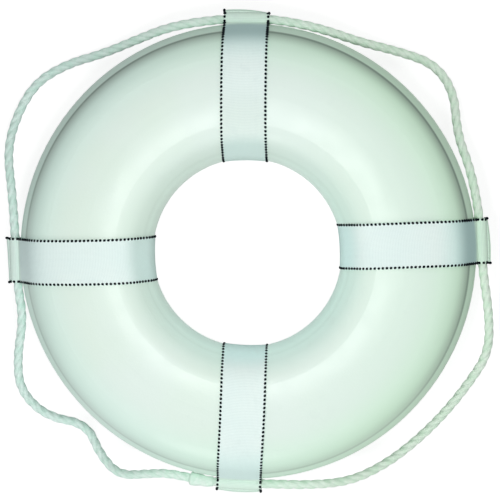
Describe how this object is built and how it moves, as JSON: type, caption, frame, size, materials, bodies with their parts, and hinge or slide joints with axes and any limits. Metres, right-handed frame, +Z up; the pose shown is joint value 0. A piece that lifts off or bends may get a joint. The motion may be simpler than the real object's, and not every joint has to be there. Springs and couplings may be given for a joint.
{
  "type": "ring buoy",
  "caption": "Ring buoy lying flat: a moulded foam ring wrapped by webbing beckets, with a laid grab line held by them in loose bights round the rim.",
  "frame": {"origin": "on the surface that the buoy lies on, under the middle of its hole", "axes": "+Z up along the ring's axis, +X towards the becket on the right of the picture, +Y towards the becket at its top"},
  "size_m": [0.5503, 0.54, 0.0929],
  "materials": {
    "moulding": "satin moulded vinyl over foam",
    "webbing": "flat woven webbing",
    "rope": "three-strand laid rope"
  },
  "bodies": {
    "root": {"ring_body": "moulding", "strap_right": "webbing", "strap_top": "webbing", "strap_left": "webbing", "strap_bottom": "webbing", "grab_line": "rope", "rope_splice": "rope"}
  },
  "joints": []
}
